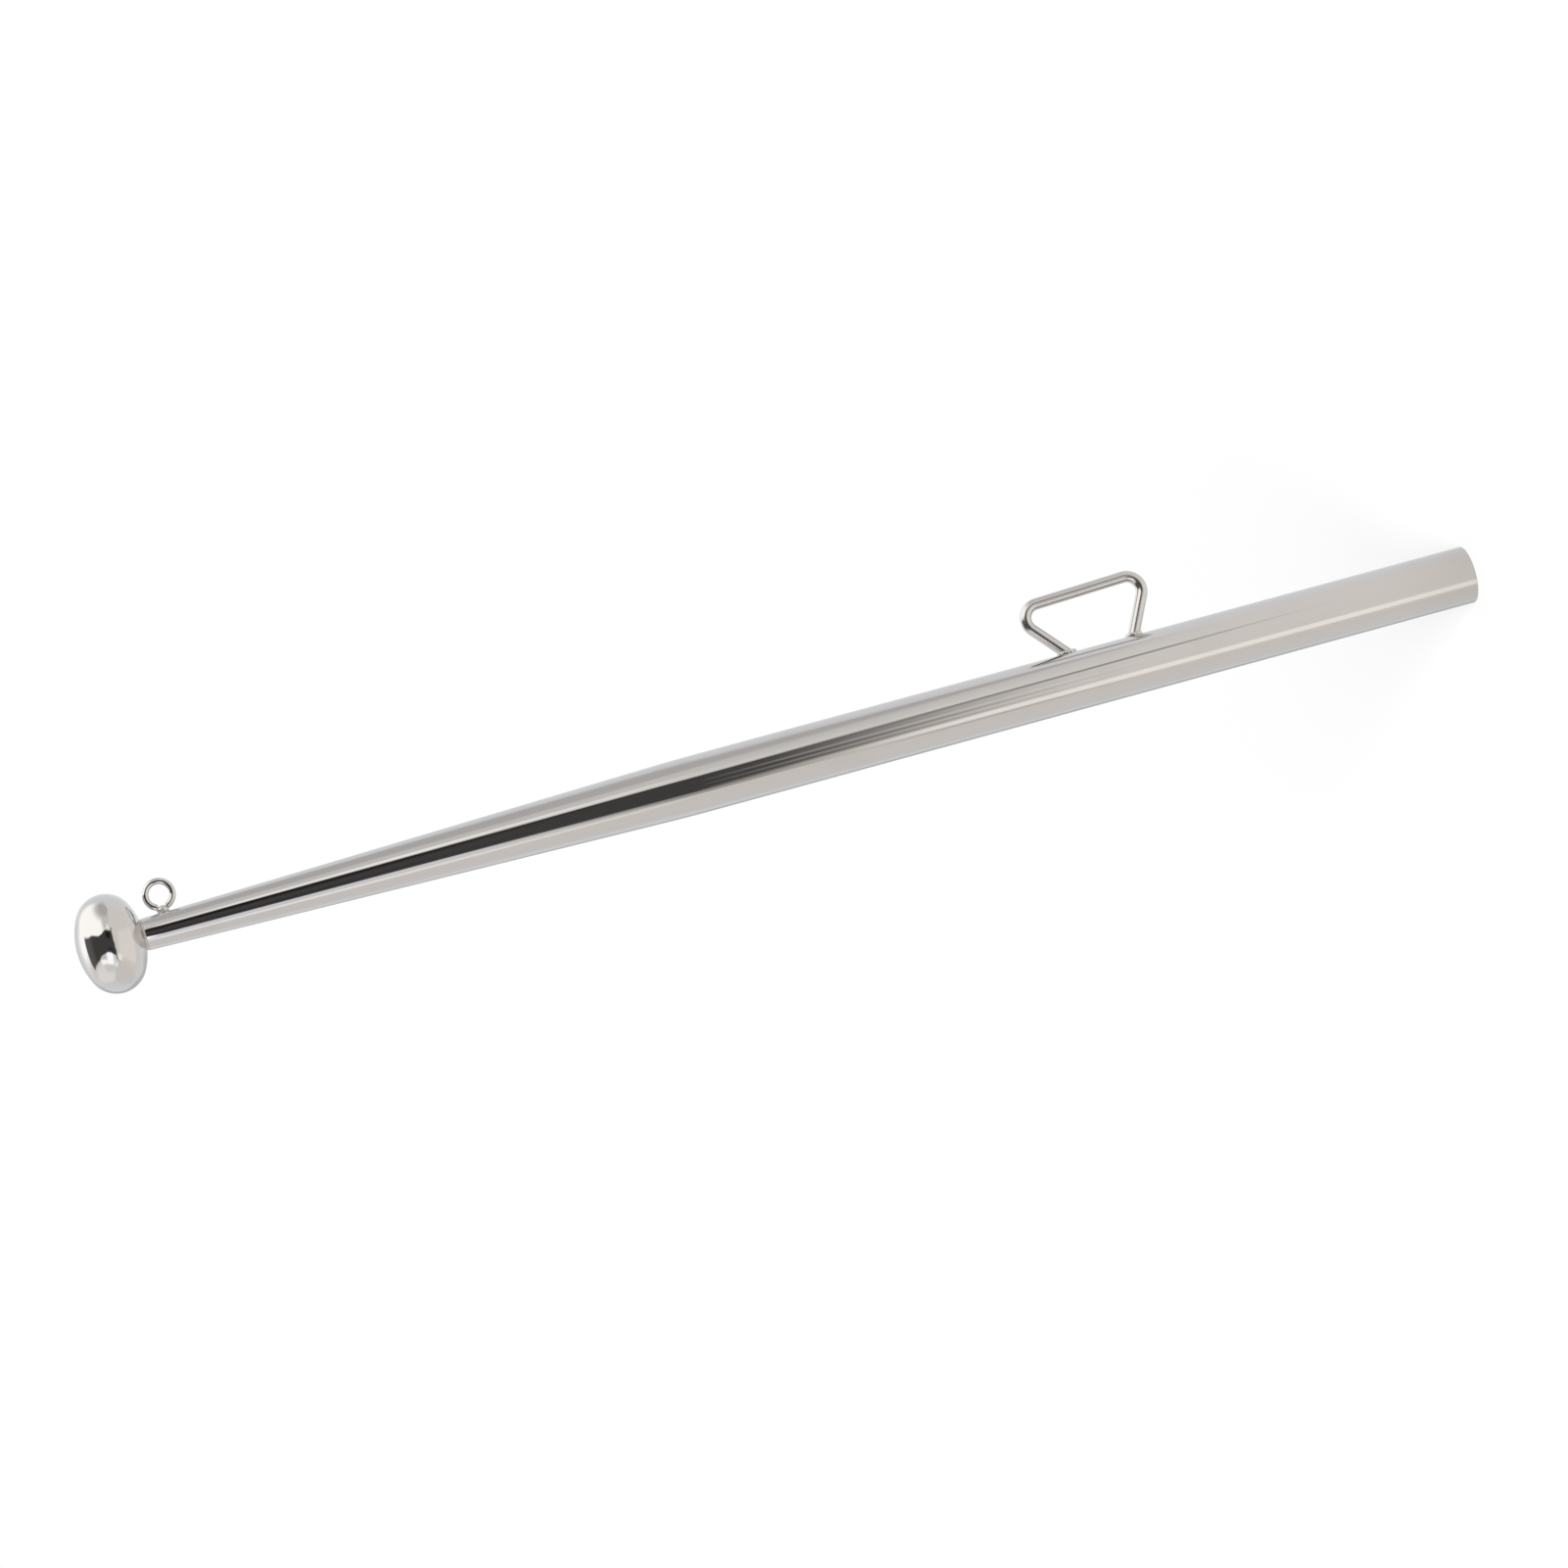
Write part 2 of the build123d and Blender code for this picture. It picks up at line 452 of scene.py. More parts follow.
def make_tent_material():
    material, graph = new_material("light_tent")
    place = graph.add("ShaderNodeTexCoord", output="Object")
    direction = graph.add("ShaderNodeVectorMath", {"operation": "NORMALIZE"}, [place])
    right = graph.add("ShaderNodeSeparateXYZ", None, [direction])
    azimuth = right.math("ARCTAN2", right.other("Z")) * math.degrees(1)
    elevation = right.other("Y").math("ARCSINE") * math.degrees(1)
    tone = tent_seams(tent_cloth(azimuth, elevation), azimuth, elevation)
    tone = hang(tone, azimuth, elevation, LAMP_PATCHES)
    tone = toward(tone, room_tone(azimuth, elevation), tent_opening(azimuth, elevation))
    shade = {"Vector": tent_tint(graph, azimuth, elevation), "Scale": tone}
    colour = graph.add("ShaderNodeVectorMath", {"operation": "SCALE"}, shade)
    glow = graph.add("ShaderNodeEmission", None, {"Color": colour, "Strength": 1.0})
    graph.add("ShaderNodeOutputMaterial", None, {"Surface": glow})
    material.cycles.emission_sampling = "NONE"
    return material


def make_tent():
    shell = bmesh.new()
    counts = {"u_segments": TENT_SEGMENTS, "v_segments": TENT_RINGS}
    bmesh.ops.create_uvsphere(shell, radius=TENT_RADIUS, **counts)
    mesh = bpy.data.meshes.new("light_tent")
    shell.to_mesh(mesh)
    shell.free()
    mesh.materials.append(make_tent_material())
    tent = bpy.data.objects.new("light_tent", mesh)
    tent.matrix_world = Matrix.Translation((0, 0, finial_top)) @ studio_turn.to_4x4()
    tent.visible_camera = False
    tent.visible_diffuse = False
    tent.visible_transmission = False
    tent.visible_shadow = False
    bpy.context.scene.collection.objects.link(tent)
    return tent


tent = make_tent()
tent_nodes = tent.data.materials[0].node_tree.nodes
print("light tent", len(tent.data.polygons), "faces,", len(tent_nodes), "nodes")

# %% [markdown]
# ## White ground and soft light
# The picture has a plain white ground. A white world and a white floor give that at strength 1,
# and Light Path keeps the extra white for what the camera, metal and glass see, so that it adds no
# light. The floor is partly lit and partly glowing, which keeps the staff's soft shadow. One wide sun
# lights the floor evenly near and far, which a nearby lamp can't.

# %% Lay the floor and light it
FLOOR_SIDE = 60.0
FLOOR_WHITE = 0.9
FLOOR_GLOW_SHARE = 0.6
WORLD_LEVEL = 0.62
SUN_STRENGTH = 2.6
SUN_WIDTH = math.radians(30)
SUN_FROM = Vector((-0.11, -0.84, 0.70))


def seen_directly(graph):
    """1 for a ray that comes from the camera, off metal or through glass."""
    camera_ray = graph.add("ShaderNodeLightPath", output="Is Camera Ray")
    glossy = camera_ray.math("MAXIMUM", camera_ray.other("Is Glossy Ray"))
    return glossy.math("MAXIMUM", camera_ray.other("Is Transmission Ray"))


def make_world():
    world = bpy.data.worlds.new("white_ground")
    world.use_nodes = True
    world.node_tree.nodes.clear()
    graph = Graph(world.node_tree)
    level = WORLD_LEVEL + (1 - WORLD_LEVEL) * seen_directly(graph)
    sky = graph.add("ShaderNodeBackground", None, {"Color": (1, 1, 1, 1), "Strength": level})
    graph.add("ShaderNodeOutputWorld", None, {"Surface": sky})
    return world


def make_floor():
    material, graph = new_material("pale_floor")
    white = (FLOOR_WHITE, FLOOR_WHITE, FLOOR_WHITE, 1)
    matt = {"Base Color": white, "Roughness": 0.9, "Specular IOR Level": 0}
    paint = graph.add("ShaderNodeBsdfPrincipled", None, matt)
    glow = graph.add("ShaderNodeEmission", None, {"Color": (1, 1, 1, 1), "Strength": 1})
    glow_share = seen_directly(graph) * FLOOR_GLOW_SHARE
    mixed = graph.add("ShaderNodeMixShader", None, [glow_share, paint, glow])
    graph.add("ShaderNodeOutputMaterial", None, {"Surface": mixed})
    half = FLOOR_SIDE / 2
    mesh = bpy.data.meshes.new("floor")
    corners = [(-half, -half, 0), (half, -half, 0), (half, half, 0), (-half, half, 0)]
    mesh.from_pydata(corners, [], [(0, 1, 2, 3)])
    mesh.materials.append(material)
    floor = bpy.data.objects.new("floor", mesh)
    floor.visible_glossy = False
    bpy.context.scene.collection.objects.link(floor)
    return floor


def make_sun():
    data = bpy.data.lights.new("wide_sun", "SUN")
    data.energy = SUN_STRENGTH
    data.angle = SUN_WIDTH
    sun = bpy.data.objects.new("wide_sun", data)
    sun.rotation_mode = "QUATERNION"
    sun.rotation_quaternion = SUN_FROM.to_track_quat("Z", "Y")
    sun.visible_glossy = False
    bpy.context.scene.collection.objects.link(sun)
    return sun


bpy.context.scene.world = make_world()
floor = make_floor()
sun = make_sun()
print(floor.name, FLOOR_SIDE, "m square,", sun.name, SUN_STRENGTH)

# %% [markdown]
# ## The finishes
# All of it is one grade of stainless steel, slightly warm beside a white ground. The tube was drawn
# and then polished, which leaves faint lines along it, and it is darker toward its base. The ball was
# turned, which leaves faint rings. The wire has lines along its run, and the cleat's wire also has
# dark lines at set angles round it, which are painted reflections of dark things along with its die
# lines. Welds are only buffed, so they are rougher and duller, and they leave a haze on the tube
# around them. A single roughness would look like plastic film, so noise moves the roughness and the
# tone a little everywhere.

# %% Mix the steel finishes
STEEL = (0.630, 0.606, 0.584, 1)
STEEL_DULL = (0.560, 0.536, 0.514, 1)
# The colour of the painted dark reflection lines along the wire.
STEEL_REFLECTION_LINE = (0.400, 0.385, 0.370, 1)
STEEL_RAW = (0.330, 0.315, 0.300, 1)
WELD_PALE = (0.640, 0.625, 0.600, 1)
WELD_SCALE = (0.300, 0.275, 0.250, 1)
TUBE_POLISH = 0.05
BALL_POLISH = 0.035
RING_POLISH = 0.035
CLEAT_POLISH = 0.22
WELD_POLISH = 0.24
RAW_ROUGHNESS = 0.38
MICRON = 1e-6
LINE_STRETCH = 0.35
WIRE_LINE_STRETCH = 12
LINE_WANDER = 10
# How dark the painted reflection lines on the wire are, and how far they take to fade in at their ends.
REFLECTION_LINE_SHARE = 0.9
REFLECTION_LINE_FADE = 5 * MM
SMUDGE_EDGE = (0.5, 0.78)
BUFFED_EDGE = (3 * MM, 14 * MM)
# Where the tube's darker tone toward its base ends and fades out.
BASE_DARKENING_EDGE = (5 * MM, 45 * MM)


def noise(graph, vector, scale, detail=2.0, roughness=0.5):
    """A soft random value about one half."""
    inputs = {"Vector": vector, "Scale": scale, "Detail": detail, "Roughness": roughness}
    return graph.add("ShaderNodeTexNoise", None, inputs)


def combine(graph, x, y, z):
    return graph.add("ShaderNodeCombineXYZ", None, [x, y, z])


def bump(graph, height, depth, under=None):
    """A normal for a height from 0 to 1 that stands for a depth in metres."""
    inputs = {"Height": height, "Distance": depth}
    if under:
        inputs["Normal"] = under
    return graph.add("ShaderNodeBump", None, inputs)


def steel_surface(graph, colour, roughness, normal):
    inputs = {"Base Color": colour, "Metallic": 1.0, "Roughness": roughness, "Normal": normal}
    steel = graph.add("ShaderNodeBsdfPrincipled", None, inputs)
    graph.add("ShaderNodeOutputMaterial", None, {"Surface": steel})


def drawn_tube_finish():
    """Polished tube: faint lines along its length, a little haze, buffed patches at the welds, and a
    darker tone toward its base.
    """
    material, graph = new_material("drawn_tube_polish")
    place = graph.add("ShaderNodeTexCoord", output="Object")
    x = graph.add("ShaderNodeSeparateXYZ", None, [place])
    y, z = x.other("Y"), x.other("Z")
    radius = (x * x + y * y).math("SQRT")
    stretched = combine(graph, x / radius, y / radius, z * LINE_STRETCH)
    lines = noise(graph, stretched, scale=26.0, detail=3.0, roughness=0.6)
    haze = noise(graph, place, scale=28.0, detail=4.0, roughness=0.55)
    smudge = smooth_step(haze, *SMUDGE_EDGE)
    to_feet = abs(abs(z - cleat_height) - cleat_foot_spacing / 2)
    foot_side = smooth_step(x, 0.2 * tube_radius, 0.9 * tube_radius)
    buffed = (1 - smooth_step(to_feet, *BUFFED_EDGE)) * foot_side
    skin = tube_radius - taper_slope * (z - straight_length).math("MAXIMUM", 0.0)
    cut = 1 - smooth_step(z, base_edge_break, 1.4 * base_edge_break)
    raw = smooth_step(skin - radius, 0.5 * tube_wall, 0.7 * tube_wall).math("MAXIMUM", cut)
    # The tube is darker toward its base, over its lowest few centimetres.
    base_darkening = 1 - smooth_step(z, *BASE_DARKENING_EDGE)
    dull = 0.35 * smudge + 0.25 * smooth_step(lines, 0.5, 0.75) + 0.6 * base_darkening
    colour = mix_colours(graph, dull, STEEL, STEEL_DULL)
    colour = mix_colours(graph, raw, colour, STEEL_RAW)
    roughness = TUBE_POLISH + 0.05 * smudge + 0.03 * smooth_step(lines, 0.4, 0.8) + 0.06 * buffed * haze
    roughness = toward(roughness, RAW_ROUGHNESS, raw)
    waves = noise(graph, place, scale=60.0, detail=1.0)
    normal = bump(graph, waves, 3 * MICRON, bump(graph, lines, 2.5 * MICRON))
    steel_surface(graph, colour, roughness, normal)
    return material


def turned_ball_finish():
    """Polished ball: rings from turning, which depend only on height and distance from the axis."""
    material, graph = new_material("turned_ball_polish")
    place = graph.add("ShaderNodeTexCoord", output="Object")
    x = graph.add("ShaderNodeSeparateXYZ", None, [place])
    y, z = x.other("Y"), x.other("Z")
    radius = (x * x + y * y).math("SQRT")
    rings = noise(graph, combine(graph, radius, 0.0, z), scale=900.0)
    haze = noise(graph, place, scale=70.0, detail=4.0, roughness=0.55)
    smudge = smooth_step(haze, *SMUDGE_EDGE)
    colour = mix_colours(graph, 0.3 * smudge, STEEL, STEEL_DULL)
    roughness = BALL_POLISH + 0.04 * smudge + 0.015 * rings
    normal = bump(graph, haze, 4 * MICRON, bump(graph, rings, 0.4 * MICRON))
    steel_surface(graph, colour, roughness, normal)
    return material


def drawn_wire_finish(name, polish, reflection_lines):
    """Polished wire: fine lines along its run, which is stored on the mesh as it is swept, and dark
    lines at set angles round its section, which are painted reflections of dark things along with die
    lines.

    A painted reflection line has the angle round the section and the half width, in degrees, at which
    it runs, and the places along the wire, in metres, where it starts and ends.
    """
    material, graph = new_material(name)
    section = graph.add("ShaderNodeAttribute", {"attribute_name": "section"}, output="Vector")
    run = graph.add("ShaderNodeAttribute", {"attribute_name": "run"}, output="Fac")
    place = graph.add("ShaderNodeTexCoord", output="Object")
    along = combine(graph, 0.0, 0.0, run * WIRE_LINE_STRETCH)
    spread = graph.add("ShaderNodeVectorMath", {"operation": "ADD"}, [section, along])
    lines = noise(graph, spread, scale=5.0, detail=3.0, roughness=0.6)
    haze = noise(graph, place, scale=160.0, detail=3.0)
    streak = smooth_step(lines, 0.5, 0.72)
    colour = mix_colours(graph, 0.45 * streak + 0.2 * smooth_step(haze, 0.5, 0.8), STEEL, STEEL_DULL)
    section_x = graph.add("ShaderNodeSeparateXYZ", None, [section])
    round_angle = section_x.other("Y").math("ARCTAN2", section_x) * math.degrees(1)
    round_angle = round_angle + LINE_WANDER * (lines - 0.5)
    # Painted reflections: each line darkens the wire at a set angle round its section, where a dark
    # thing is reflected, along with a die line.
    for line_angle, half_width, start, end in reflection_lines:
        line = 1 - smooth_step(abs(round_angle - line_angle), 0.3 * half_width, half_width)
        shown = REFLECTION_LINE_SHARE * line * between(run, start, end, REFLECTION_LINE_FADE)
        colour = mix_colours(graph, shown, colour, STEEL_REFLECTION_LINE)
    roughness = polish + 0.05 * streak + 0.03 * smooth_step(haze, 0.45, 0.8)
    normal = bump(graph, haze, 1 * MICRON, bump(graph, lines, 1.5 * MICRON))
    steel_surface(graph, colour, roughness, normal)
    return material


def buffed_weld_finish():
    """Weld metal: pale where it was buffed, with dark scale left in the dips."""
    material, graph = new_material("buffed_weld")
    place = graph.add("ShaderNodeTexCoord", output="Object")
    grain = noise(graph, place, scale=1500.0, detail=4.0, roughness=0.6)
    patches = noise(graph, place, scale=420.0)
    scale = smooth_step(patches, 0.58, 0.74)
    colour = mix_colours(graph, 0.6 * scale, WELD_PALE, WELD_SCALE)
    roughness = WELD_POLISH + 0.2 * scale + 0.1 * grain
    normal = bump(graph, grain, 10 * MICRON)
    steel_surface(graph, colour, roughness, normal)
    return material


tube_finish = drawn_tube_finish()
ball_finish = turned_ball_finish()
ring_finish = drawn_wire_finish("bright_ring_wire", RING_POLISH, [])
# The cleat's dark lines at set angles round its section are painted reflections of dark things, along
# with its die lines.
cleat_reflection_lines = [(2, 13, 32 * MM, 82 * MM), (-50, 12, 0, 120 * MM), (140, 12, 0, 120 * MM)]
cleat_finish = drawn_wire_finish("drawn_cleat_wire_with_painted_reflections", CLEAT_POLISH, cleat_reflection_lines)
weld_finish = buffed_weld_finish()
finishes = [tube_finish, ball_finish, ring_finish, cleat_finish, weld_finish]
print("finishes", [finish.name for finish in finishes])

# %% [markdown]
# ## Turned pieces
# The tube and the ball are round about one axis, so each is an outline carried round it. A Screw
# modifier would do, but the poles and the closed wall of a tube are easier to get right in a short
# loop: a point on the axis becomes one vertex, and any other becomes a ring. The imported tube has
# about forty flat sides, which a mirror finish would show, so both pieces are made again, finer, on
# the same outline.

# %% Write the turning helpers
TURN_STEPS = 192
SHARP_ANGLE = math.radians(32)
ON_AXIS = 1e-9


def arc(centre, radius, start, end, steps):
    """Points of an arc in (radius, height), with angles from the outward direction."""
    angles = np.linspace(start, end, steps)
    return [(centre[0] + radius * math.cos(a), centre[1] + radius * math.sin(a)) for a in angles]


def run_to(first, last, spacing):
    """Points along a straight run, without its first point."""
    steps = max(1, round(math.dist(first, last) / spacing))
    return [tuple(np.add(first, np.subtract(last, first) * (i / steps))) for i in range(1, steps + 1)]


def finish_mesh(name, mesh, material):
    """Outward faces, smooth shading with crisp corners, one material, and an object at the origin."""
    shell = bmesh.new()
    shell.from_mesh(mesh)
    bmesh.ops.recalc_face_normals(shell, faces=shell.faces)
    shell.to_mesh(mesh)
    shell.free()
    mesh.shade_smooth()
    mesh.set_sharp_from_angle(angle=SHARP_ANGLE)
    mesh.materials.clear()
    mesh.materials.append(material)
    piece = bpy.data.objects.new(name, mesh)
    bpy.context.scene.collection.objects.link(piece)
    return piece


def turn(name, outline, closed, material):
    """A solid of revolution about the Z axis."""
    vertices = []
    rings = []
    for radius, height in outline:
        if radius < ON_AXIS:
            rings.append([len(vertices)] * TURN_STEPS)
            vertices.append((0, 0, height))
            continue
        rings.append(list(range(len(vertices), len(vertices) + TURN_STEPS)))
        for step in range(TURN_STEPS):
            angle = 2 * math.pi * step / TURN_STEPS
            vertices.append((radius * math.cos(angle), radius * math.sin(angle), height))
    pairs = list(zip(rings, rings[1:] + rings[:1])) if closed else list(zip(rings, rings[1:]))
    faces = []
    for lower, upper in pairs:
        for step in range(TURN_STEPS):
            after = (step + 1) % TURN_STEPS
            corners = [lower[step], lower[after], upper[after], upper[step]]
            faces.append(list(dict.fromkeys(corners)))
    mesh = bpy.data.meshes.new(name)
    mesh.from_pydata(vertices, [], faces)
    return finish_mesh(name, mesh, material)


print("turning helpers ready,", TURN_STEPS, "steps round")

# %% [markdown]
# ## The tube
# The wall is one closed outline: up the outside, over the rounded tip, down the bore, and back
# across the base. The straight part passes into the taper through a very large arc, which is what
# makes the dark reflection fade out slowly instead of stopping at a line.

# %% Turn the tube
RING_SPACING = 8 * MM
BLEND_STEPS = 14
TIP_STEPS = 8
taper_angle = math.atan(taper_slope)
blend_reach = taper_blend_radius * math.tan(taper_angle / 2)


def tube_side(offset):
    """One side of the wall, from the base up to the tip, set in by an offset from the outside."""
    radius = tube_radius - offset
    base = (radius, 0)
    blend_start = (radius, straight_length - blend_reach)
    blend_centre = (radius - taper_blend_radius, straight_length - blend_reach)
    blend = arc(blend_centre, taper_blend_radius, 0, taper_angle, BLEND_STEPS)
    tip = (tip_radius - offset, tube_length)
    straight = run_to(base, blend_start, RING_SPACING)
    taper = run_to(blend[-1], tip, RING_SPACING)
    return [base, *straight, *blend[1:], *taper]


def tube_outline():
    outside = tube_side(0)
    inside = tube_side(tube_wall)
    chamfer = [(tube_radius - base_edge_break, 0), (tube_radius, base_edge_break)]
    corner_turn = math.pi / 2 - taper_angle
    cut_back = tip_edge_round * math.tan(corner_turn / 2)
    round_centre = (tip_radius - cut_back, tube_length - tip_edge_round)
    tip_round = arc(round_centre, tip_edge_round, taper_angle, math.pi / 2, TIP_STEPS)
    return [*chamfer, *outside[1:-1], *tip_round, *reversed(inside)]


tube = turn("polished_tube", tube_outline(), True, tube_finish)
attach(tube, "root")
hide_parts("pole_tube")
print("tube", len(tube.data.polygons), "faces, taper", round(math.degrees(taper_angle), 2), "degrees")

# %% [markdown]
# ## The ball
# The finial is a flattened ball whose section is two wide arcs, front and back, joined by a tight
# arc at the rim. The arcs share their tangents, so the reflection runs across the rim unbroken.
# A scaled sphere would be quicker, but its rim would be too pointed. A short neck seats the ball
# on the tube's end.

# %% Turn the ball
BACK_STEPS = 40
RIM_STEPS = 72
FRONT_STEPS = 48
side_reach = finial_radius - finial_rim_radius
rim_rise = finial_half - finial_rim_radius
face_radius = (finial_half**2 + side_reach**2 - finial_rim_radius**2) / (2 * rim_rise)
face_drop = face_radius - finial_half
rim_angle = math.atan2(face_drop, side_reach)
finial_centre = finial_top - finial_half


def finial_outline():
    neck_angle = math.acos(neck_radius / face_radius)
    back = arc((0, finial_centre + face_drop), face_radius, -neck_angle, -rim_angle, BACK_STEPS)
    rim = arc((side_reach, finial_centre), finial_rim_radius, -rim_angle, rim_angle, RIM_STEPS)
    front = arc((0, finial_centre - face_drop), face_radius, rim_angle, math.pi / 2, FRONT_STEPS)
    neck = [(0, tube_length), (neck_radius, tube_length)]
    return [*neck, *back, *rim[1:], *front[1:-1], (0, finial_top)]


ball = turn("finial_ball", finial_outline(), False, ball_finish)
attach(ball, "root")
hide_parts("finial")
print("ball", len(ball.data.polygons), "faces, face radius", round(face_radius / MM, 2), "mm")

# %% [markdown]
# ## Bent wire
# The eye and the cleat are lengths of round wire bent along a path. A curve with a bevel would draw
# them, but a Geometry Nodes tree also rounds the corners of the path and keeps, on every vertex,
# how far along the wire it is and where round the section. The finish needs both for its lines.
# One tree serves both wires, because the sizes are its inputs.


# %% Build the wire tree
BEVEL_STEPS = 3
BEVEL_ANGLE = math.radians(60)


def new_tree(name, inputs):
    """A Geometry Nodes tree with named inputs, its graph and its input sockets."""
    tree = bpy.data.node_groups.new(name, "GeometryNodeTree")
    tree.interface.new_socket("Geometry", in_out="INPUT", socket_type="NodeSocketGeometry")
    for label, kind in inputs.items():
        tree.interface.new_socket(label, in_out="INPUT", socket_type="NodeSocket" + kind)
    tree.interface.new_socket("Geometry", in_out="OUTPUT", socket_type="NodeSocketGeometry")
    graph = Graph(tree)
    return graph, graph.add("NodeGroupInput")


def close_tree(graph, geometry, material):
    """Ends a tree in real geometry with its material."""
    real = graph.add("GeometryNodeRealizeInstances", None, {"Geometry": geometry})
    painted = graph.add("GeometryNodeSetMaterial", None, {"Geometry": real, "Material": material})
    graph.add("NodeGroupOutput", None, {"Geometry": painted})
    return graph.tree


def store(graph, geometry, name, value, kind):
    settings = {"data_type": kind, "domain": "POINT"}
    inputs = {"Geometry": geometry, "Name": name, "Value": value}
    return graph.add("GeometryNodeStoreNamedAttribute", settings, inputs)


def round_section(graph, sides, radius):
    """A circle that remembers where each of its points lies, as a share of its radius."""
    size = {"Resolution": sides, "Radius": radius}
    circle = graph.add("GeometryNodeCurvePrimitiveCircle", None, size)
    place = graph.add("GeometryNodeInputPosition")
    scaled = {"Vector": place, "Scale": 1 / radius}
    share = graph.add("ShaderNodeVectorMath", {"operation": "SCALE"}, scaled)
    return store(graph, circle, "section", share, "FLOAT_VECTOR")


def make_wire_tree():
    inputs = {
        "Wire Radius": "Float",
        "Bend Radius": "Float",
        "Bend Steps": "Int",
        "Sides": "Int",
        "Material": "Material",
    }
    graph, given = new_tree("bent_wire", inputs)
    path = graph.add("GeometryNodeMeshToCurve", None, {"Mesh": given})
    bends = {
        "Curve": path,
        "Count": given.other("Bend Steps"),
        "Radius": given.other("Bend Radius"),
        "Limit Radius": True,
    }
    bent = graph.add("GeometryNodeFilletCurve", {"mode": "POLY"}, bends)
    run = graph.add("GeometryNodeSplineParameter", output="Length")
    bent = store(graph, bent, "run", run, "FLOAT")
    section = round_section(graph, given.other("Sides"), given.other("Wire Radius"))
    swept = {"Curve": bent, "Profile Curve": section, "Scale": 1.0, "Fill Caps": True}
    wire = graph.add("GeometryNodeCurveToMesh", None, swept)
    smooth = graph.add("GeometryNodeSetShadeSmooth", None, {"Geometry": wire})
    return close_tree(graph, smooth, given.other("Material"))


def path_object(name, points, closed):
    """A bare line of edges for a tree to follow."""
    mesh = bpy.data.meshes.new(name)
    edges = [(i, i + 1) for i in range(len(points) - 1)]
    if closed:
        edges.append((len(points) - 1, 0))
    mesh.from_pydata([tuple(p) for p in points], edges, [])
    path = bpy.data.objects.new(name, mesh)
    bpy.context.scene.collection.objects.link(path)
    return path


def grow(name, tree, points, closed, values, edge_bevel=0):
    """Runs a tree along a path and returns a plain mesh piece."""
    path = path_object(name + "_path", points, closed)
    modifier = path.modifiers.new("tree", "NODES")
    modifier.node_group = tree
    for item in tree.interface.items_tree:
        if item.in_out == "INPUT" and item.name in values:
            modifier[item.identifier] = values[item.name]
    if edge_bevel:
        bevel = path.modifiers.new("cut_edge", "BEVEL")
        bevel.width = edge_bevel
        bevel.segments = BEVEL_STEPS
        bevel.limit_method = "ANGLE"
        bevel.angle_limit = BEVEL_ANGLE
    evaluated = path.evaluated_get(bpy.context.evaluated_depsgraph_get())
    mesh = bpy.data.meshes.new_from_object(evaluated)
    mesh.name = name
    bpy.data.objects.remove(path)
    return finish_mesh(name, mesh, values["Material"])


wire_tree = make_wire_tree()
print("wire tree", len(wire_tree.nodes), "nodes")

# %% [markdown]
# ## The halyard eye
# A short wire is bent into an open ring, and its two cut ends face the tube with a gap between
# them. The cut ends show in the picture, so they stay flat, with only a small edge taken off. The
# path is an arc that stops short of a full turn by the gap.

# %% Bend the eye
EYE_STEPS = 97
cut_edge = 0.2 * MM
gap_half_angle = math.asin(eye_gap / 2 / eye_ring_radius)


def ring_point(angle):
    """A point of the ring's centre line, with the angle from the side that faces away from the tube."""
    across = eye_reach + eye_ring_radius * math.cos(angle)
    return (across, 0, eye_height + eye_ring_radius * math.sin(angle))


eye_angles = np.linspace(gap_half_angle - math.pi, math.pi - gap_half_angle, EYE_STEPS)
eye_path = [ring_point(angle) for angle in eye_angles]
eye_values = {
    "Wire Radius": eye_wire_radius,
    "Bend Radius": 0.0,
    "Bend Steps": 1,
    "Sides": 48,
    "Material": ring_finish,
}
eye = grow("halyard_ring", wire_tree, eye_path, False, eye_values, edge_bevel=cut_edge)
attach(eye, "root")
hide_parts("halyard_eye")
print("eye", len(eye.data.polygons), "faces")

# %% [markdown]
# ## The rope cleat
# One thicker wire makes two splayed legs and a bar. It was bent by hand and welded on a little askew,
# and the picture shows that, so each leg has its own splay and the whole path is turned by its set
# angle. The legs run into the tube's wall. Their ends are then coped: every vertex that went too deep
# slides back along its leg to the middle of the wall, so that nothing shows in the bore.

# %% Bend the cleat
cope_radius = tube_radius - 0.5 * tube_wall
foot_depth = 2 * cleat_wire_radius


def set_askew(along, reach):
    """A point of the cleat's centre line, from the middle of its feet, turned by the set angle."""
    across = tube_radius + reach * math.cos(cleat_set_angle) - along * math.sin(cleat_set_angle)
    height = cleat_height + along * math.cos(cleat_set_angle) + reach * math.sin(cleat_set_angle)
    return Vector((across, 0, height))


def leg_direction(side):
    """The way a leg runs from its foot to the bar, where side is -1 below and 1 above."""
    lean = side * cleat_splay[side] + cleat_set_angle
    return Vector((math.cos(lean), 0, math.sin(lean)))


def slide_to_radius(point, direction, radius):
    """The point slid along a direction to a distance from the tube's axis, on the outward side."""
    a = direction.x**2 + direction.y**2
    b = point.x * direction.x + point.y * direction.y
    c = point.x**2 + point.y**2 - radius**2
    return point + direction * ((math.sqrt(b * b - a * c) - b) / a)


def leg_point(side, reach):
    """A point of one leg's centre line, at a reach from the tube."""
    return set_askew(side * (cleat_foot_spacing / 2 + reach * math.tan(cleat_splay[side])), reach)


def cleat_path():
    lower = [leg_point(-1, -foot_depth), leg_point(-1, cleat_bar_reach)]
    upper = [leg_point(1, cleat_bar_reach), leg_point(1, -foot_depth)]
    return lower + upper


